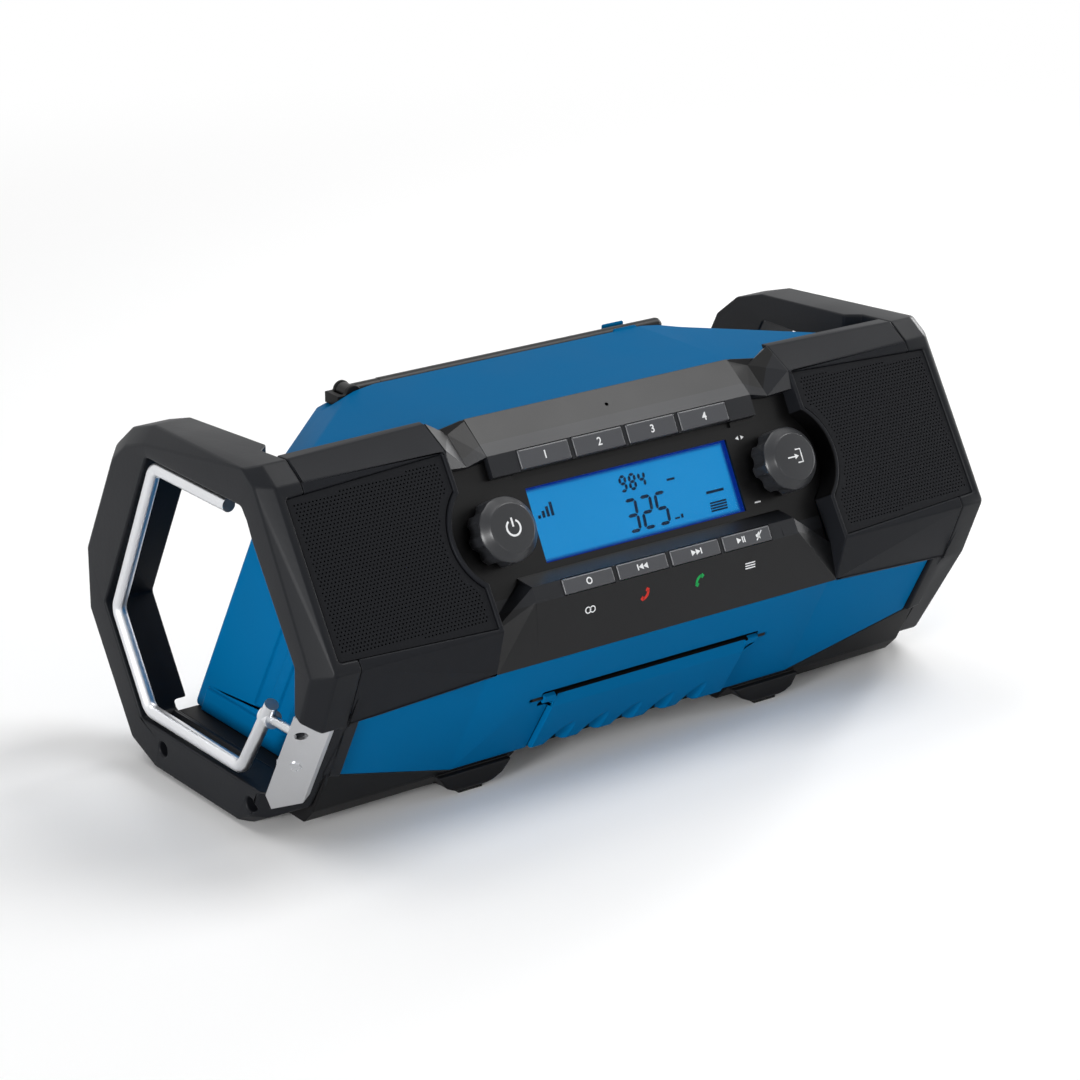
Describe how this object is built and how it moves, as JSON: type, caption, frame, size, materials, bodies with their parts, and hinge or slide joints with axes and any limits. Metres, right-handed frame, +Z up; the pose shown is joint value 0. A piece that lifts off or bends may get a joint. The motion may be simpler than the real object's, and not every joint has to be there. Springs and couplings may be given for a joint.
{
  "type": "jobsite radio",
  "caption": "Rugged jobsite radio with faceted ring-shaped end frames, a leaning speaker front, recessed console with knobs and keys, a swing-out steel hook, fold-up antenna and hinged door.",
  "frame": {"origin": "centre of the footprint at the surface it stands on, midway along length and depth", "axes": "+X along the length to the right end seen from the front, +Y to the rear, +Z up"},
  "size_m": [0.356, 0.193, 0.16],
  "materials": {
    "blue_plastic": "satin moulded shell",
    "black_plastic": "fine-grained moulding",
    "black_overmould": "soft satin overmould",
    "charcoal_plastic": "fine-grained moulding",
    "console_plastic": "satin to gloss",
    "knob_plastic": "satin",
    "key_plastic": "satin",
    "rubber": "matt",
    "grille_metal": "matt black, fine perforation",
    "steel": "plain",
    "wire_steel": "bright zinc",
    "bracket_steel": "satin zinc plate",
    "brass": "plated",
    "magnet": "plain ferrite",
    "cone_paper": "coated paper",
    "lens": "clear window",
    "panel": "lit display",
    "backlight": "diffuser block",
    "circuit_board": "solder mask",
    "cell_wrap": "plain sleeve"
  },
  "bodies": {
    "chassis": {"upper_housing": "blue_plastic", "lower_housing": "blue_plastic", "base_pan": "black_plastic", "rubber_feet": "rubber", "left_end_frame": "black_overmould", "right_end_frame": "black_overmould", "end_frame_screws": "steel", "left_speaker_frame": "charcoal_plastic", "right_speaker_frame": "charcoal_plastic", "console": "console_plastic", "left_grille": "grille_metal", "right_grille": "grille_metal", "left_speaker_basket": "steel", "right_speaker_basket": "steel", "left_speaker_cone": "cone_paper", "right_speaker_cone": "cone_paper", "left_speaker_magnet": "magnet", "right_speaker_magnet": "magnet", "display_lens": "lens", "display_panel": "panel", "display_backlight": "backlight", "button_board": "circuit_board", "button_switches": "steel", "microphone": "steel", "volume_encoder": "steel", "tuning_encoder": "steel", "antenna_base": "black_plastic", "antenna_pin": "steel", "hook_pin": "wire_steel", "hook_bracket": "bracket_steel", "bracket_rivets": "bracket_steel", "hook_catch": "black_plastic", "door_pins": "steel", "compartment_tray": "black_plastic", "backup_cells": "cell_wrap", "cell_contacts": "brass", "battery_dock": "black_plastic", "dock_terminal_block": "black_plastic", "dock_terminals": "brass", "main_board": "circuit_board", "dc_jack": "charcoal_plastic", "aux_jack": "charcoal_plastic"},
    "preset_button_1": {"preset_button_1": "key_plastic"},
    "preset_button_2": {"preset_button_2": "key_plastic"},
    "preset_button_3": {"preset_button_3": "key_plastic"},
    "preset_button_4": {"preset_button_4": "key_plastic"},
    "link_button": {"link_button": "key_plastic"},
    "previous_button": {"previous_button": "key_plastic"},
    "next_button": {"next_button": "key_plastic"},
    "play_button": {"play_button": "key_plastic"},
    "volume_push": {"volume_plunger": "steel"},
    "volume_dial": {"volume_shaft": "steel", "volume_knob": "knob_plastic"},
    "tuning_push": {"tuning_plunger": "steel"},
    "tuning_dial": {"tuning_shaft": "steel", "tuning_knob": "knob_plastic"},
    "antenna": {"antenna_rod": "black_plastic"},
    "hook": {"hook_wire": "wire_steel"},
    "door": {"compartment_door": "blue_plastic"},
    "flap": {"port_flap": "rubber"}
  },
  "joints": [
    {"name": "preset_button_1_press", "type": "slide", "parent": "chassis", "child": "preset_button_1", "axis": [0, 0.8829, -0.4695], "range_m": [0, 0.0008], "stiffness_N_per_m": 500},
    {"name": "preset_button_2_press", "type": "slide", "parent": "chassis", "child": "preset_button_2", "axis": [0, 0.8829, -0.4695], "range_m": [0, 0.0008], "stiffness_N_per_m": 500},
    {"name": "preset_button_3_press", "type": "slide", "parent": "chassis", "child": "preset_button_3", "axis": [0, 0.8829, -0.4695], "range_m": [0, 0.0008], "stiffness_N_per_m": 500},
    {"name": "preset_button_4_press", "type": "slide", "parent": "chassis", "child": "preset_button_4", "axis": [0, 0.8829, -0.4695], "range_m": [0, 0.0008], "stiffness_N_per_m": 500},
    {"name": "link_button_press", "type": "slide", "parent": "chassis", "child": "link_button", "axis": [0, 0.8829, -0.4695], "range_m": [0, 0.0008], "stiffness_N_per_m": 500},
    {"name": "previous_button_press", "type": "slide", "parent": "chassis", "child": "previous_button", "axis": [0, 0.8829, -0.4695], "range_m": [0, 0.0008], "stiffness_N_per_m": 500},
    {"name": "next_button_press", "type": "slide", "parent": "chassis", "child": "next_button", "axis": [0, 0.8829, -0.4695], "range_m": [0, 0.0008], "stiffness_N_per_m": 500},
    {"name": "play_button_press", "type": "slide", "parent": "chassis", "child": "play_button", "axis": [0, 0.8829, -0.4695], "range_m": [0, 0.0008], "stiffness_N_per_m": 500},
    {"name": "volume_press", "type": "slide", "parent": "chassis", "child": "volume_push", "axis": [0, 0.8829, -0.4695], "range_m": [0, 0.001], "stiffness_N_per_m": 800},
    {"name": "volume_turn", "type": "hinge", "parent": "volume_push", "child": "volume_dial", "pos_m": [-0.075, -0.06625, 0.11567], "axis": [0, -0.8829, 0.4695], "continuous": true},
    {"name": "tuning_press", "type": "slide", "parent": "chassis", "child": "tuning_push", "axis": [0, 0.8829, -0.4695], "range_m": [0, 0.001], "stiffness_N_per_m": 800},
    {"name": "tuning_turn", "type": "hinge", "parent": "tuning_push", "child": "tuning_dial", "pos_m": [0.075, -0.06625, 0.11567], "axis": [0, -0.8829, 0.4695], "continuous": true},
    {"name": "antenna_fold", "type": "hinge", "parent": "chassis", "child": "antenna", "pos_m": [-0.082, 0.0305, 0.1538], "axis": [0, -1, 0], "range_deg": [0, 90]},
    {"name": "hook_swing", "type": "hinge", "parent": "chassis", "child": "hook", "pos_m": [-0.174, -0.048, 0.054], "axis": [0, -1, 0], "range_deg": [0, 42]},
    {"name": "door_hinge", "type": "hinge", "parent": "chassis", "child": "door", "pos_m": [0, -0.07581, 0.04294], "axis": [-1, 0, 0], "range_deg": [0, 95]},
    {"name": "flap_hinge", "type": "hinge", "parent": "chassis", "child": "flap", "pos_m": [0.077, 0.065, 0.0666], "axis": [-1, 0, 0], "range_deg": [0, 105]}
  ]
}
